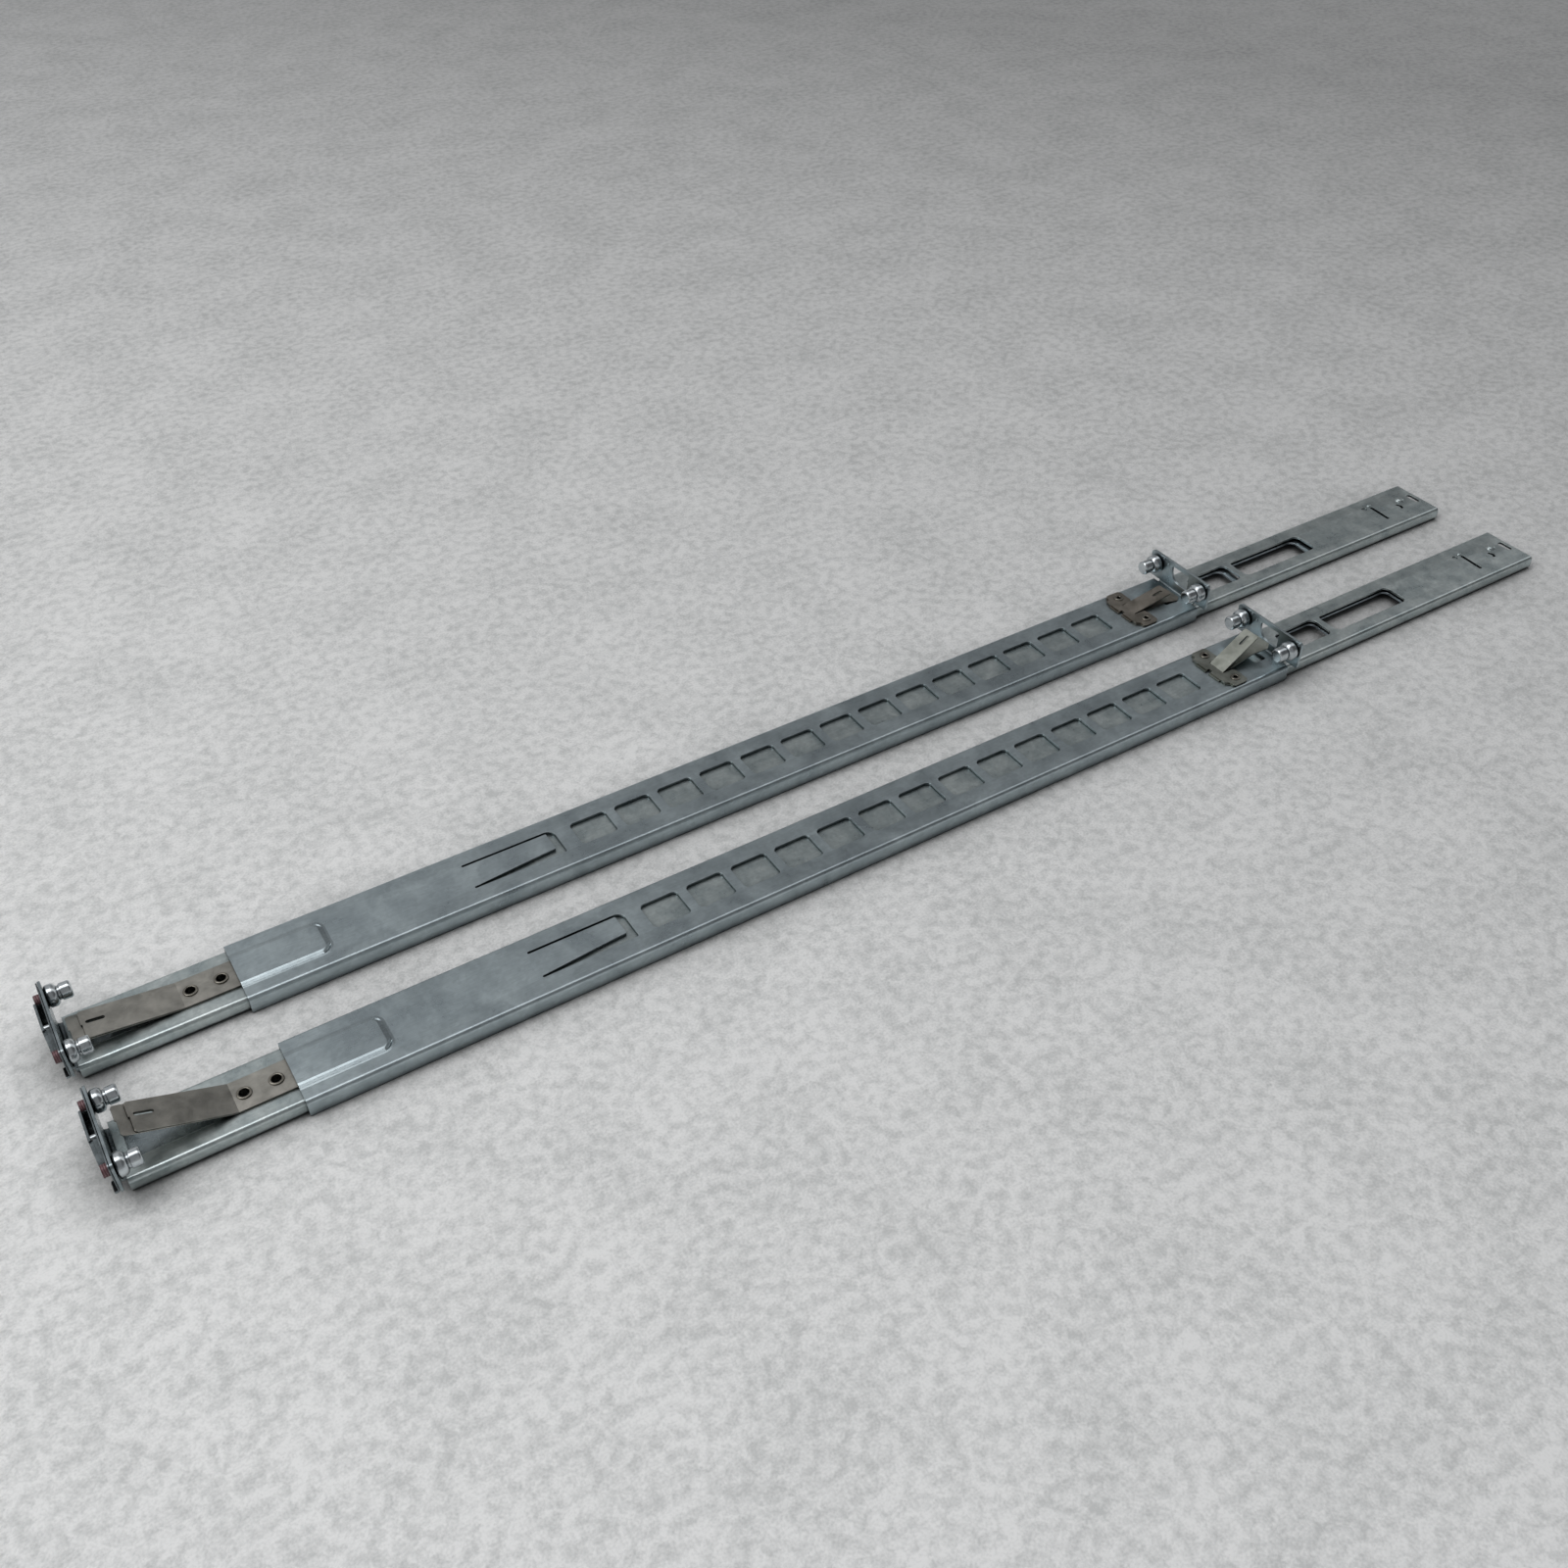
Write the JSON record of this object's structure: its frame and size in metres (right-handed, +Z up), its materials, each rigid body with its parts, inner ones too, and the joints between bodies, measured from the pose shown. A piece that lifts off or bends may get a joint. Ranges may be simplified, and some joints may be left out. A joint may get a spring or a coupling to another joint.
{
  "type": "sliding server rail pair",
  "caption": "Pair of telescopic ball-bearing rack rails with depth-setting sleeves, stud-and-leaf latches at both ends, lying web up.",
  "frame": {"origin": "centre of the pair on the surface that it lies on", "axes": "+X along the rails from the front flanges to the rear ends, +Y across the pair towards the left rail, +Z up, from the open side to the webs and flanges"},
  "size_m": [0.7388, 0.102, 0.023],
  "materials": {
    "zinc_steel": "blue-passivated zinc plate",
    "spring_steel": "brown-grey spring steel",
    "plated_stud": "bright zinc plate",
    "cage_steel": "plain strip",
    "ball_steel": "polished",
    "rubber": "moulded black rubber"
  },
  "bodies": {
    "rail_frames": {"left_outer_member": "zinc_steel", "left_rear_bumper": "rubber", "left_front_bracket": "zinc_steel", "left_front_catch_plate": "zinc_steel", "left_front_catch_pin": "plated_stud", "left_front_studs": "plated_stud", "left_front_latch_eyelets": "plated_stud", "left_front_latch_lower_foot": "spring_steel", "left_front_latch_top_foot": "spring_steel", "right_outer_member": "zinc_steel", "right_rear_bumper": "rubber", "right_front_bracket": "zinc_steel", "right_front_catch_plate": "zinc_steel", "right_front_catch_pin": "plated_stud", "right_front_studs": "plated_stud", "right_front_latch_eyelets": "plated_stud", "right_front_latch_lower_foot": "spring_steel", "right_front_latch_top_foot": "spring_steel"},
    "left_sleeve_body": {"left_sleeve": "zinc_steel", "left_rear_studs": "plated_stud", "left_rear_latch_lower_plate": "spring_steel", "left_rear_latch_upper_plate": "spring_steel", "left_rear_latch_rivets": "plated_stud"},
    "left_intermediate_body": {"left_intermediate_member": "zinc_steel"},
    "left_ball_cage_body": {"left_ball_cage": "cage_steel", "left_bearing_balls": "ball_steel"},
    "left_front_latch_body": {"left_front_latch_lower_leaf": "spring_steel", "left_front_latch_top_leaf": "spring_steel"},
    "left_rear_top_leaf_body": {"left_rear_latch_top_leaf": "spring_steel"},
    "left_rear_lower_leaf_body": {"left_rear_latch_lower_leaf": "spring_steel"},
    "right_sleeve_body": {"right_sleeve": "zinc_steel", "right_rear_studs": "plated_stud", "right_rear_latch_lower_plate": "spring_steel", "right_rear_latch_upper_plate": "spring_steel", "right_rear_latch_rivets": "plated_stud"},
    "right_intermediate_body": {"right_intermediate_member": "zinc_steel"},
    "right_ball_cage_body": {"right_ball_cage": "cage_steel", "right_bearing_balls": "ball_steel"},
    "right_front_latch_body": {"right_front_latch_lower_leaf": "spring_steel", "right_front_latch_top_leaf": "spring_steel"},
    "right_rear_top_leaf_body": {"right_rear_latch_top_leaf": "spring_steel"},
    "right_rear_lower_leaf_body": {"right_rear_latch_lower_leaf": "spring_steel"}
  },
  "joints": [
    {"name": "left_sleeve_slide", "type": "slide", "parent": "rail_frames", "child": "left_sleeve_body", "axis": [1, 0, 0], "range_m": [0, 0.145]},
    {"name": "left_intermediate_slide", "type": "slide", "parent": "rail_frames", "child": "left_intermediate_body", "axis": [-1, 0, 0], "range_m": [-0.003, 0.377]},
    {"name": "left_ball_cage_slide", "type": "slide", "parent": "rail_frames", "child": "left_ball_cage_body", "axis": [-1, 0, 0], "range_m": [-0.0015, 0.1885]},
    {"name": "left_front_latch_flex", "type": "hinge", "parent": "rail_frames", "child": "left_front_latch_body", "pos_m": [-0.3209, 0.03, 0.0075], "axis": [0, 1, 0], "range_deg": [-7, 15], "stiffness_Nm_per_rad": 0.35},
    {"name": "left_rear_latch_top_leaf_flex", "type": "hinge", "parent": "left_sleeve_body", "child": "left_rear_top_leaf_body", "pos_m": [0.157, 0.03, 0.0092], "axis": [0, -1, 0], "range_deg": [-4, 26], "stiffness_Nm_per_rad": 0.25},
    {"name": "left_rear_latch_lower_leaf_flex", "type": "hinge", "parent": "left_sleeve_body", "child": "left_rear_lower_leaf_body", "pos_m": [0.1582, 0.03, 0.0086], "axis": [0, -1, 0], "range_deg": [0, 4], "stiffness_Nm_per_rad": 0.25},
    {"name": "right_sleeve_slide", "type": "slide", "parent": "rail_frames", "child": "right_sleeve_body", "axis": [1, 0, 0], "range_m": [0, 0.145]},
    {"name": "right_intermediate_slide", "type": "slide", "parent": "rail_frames", "child": "right_intermediate_body", "axis": [-1, 0, 0], "range_m": [0, 0.38]},
    {"name": "right_ball_cage_slide", "type": "slide", "parent": "rail_frames", "child": "right_ball_cage_body", "axis": [-1, 0, 0], "range_m": [0, 0.19]},
    {"name": "right_front_latch_flex", "type": "hinge", "parent": "rail_frames", "child": "right_front_latch_body", "pos_m": [-0.3183, -0.03, 0.0075], "axis": [0, 1, 0], "range_deg": [-20, 2], "stiffness_Nm_per_rad": 0.35},
    {"name": "right_rear_latch_top_leaf_flex", "type": "hinge", "parent": "right_sleeve_body", "child": "right_rear_top_leaf_body", "pos_m": [0.1596, -0.03, 0.0092], "axis": [0, -1, 0], "range_deg": [-12, 2], "stiffness_Nm_per_rad": 0.25},
    {"name": "right_rear_latch_lower_leaf_flex", "type": "hinge", "parent": "right_sleeve_body", "child": "right_rear_lower_leaf_body", "pos_m": [0.1608, -0.03, 0.0086], "axis": [0, -1, 0], "range_deg": [-13.6, 2.4], "stiffness_Nm_per_rad": 0.25}
  ],
  "couplings": [
    {"joint": "left_ball_cage_slide", "follows": "left_intermediate_slide", "ratio": 0.5},
    {"joint": "right_ball_cage_slide", "follows": "right_intermediate_slide", "ratio": 0.5}
  ]
}
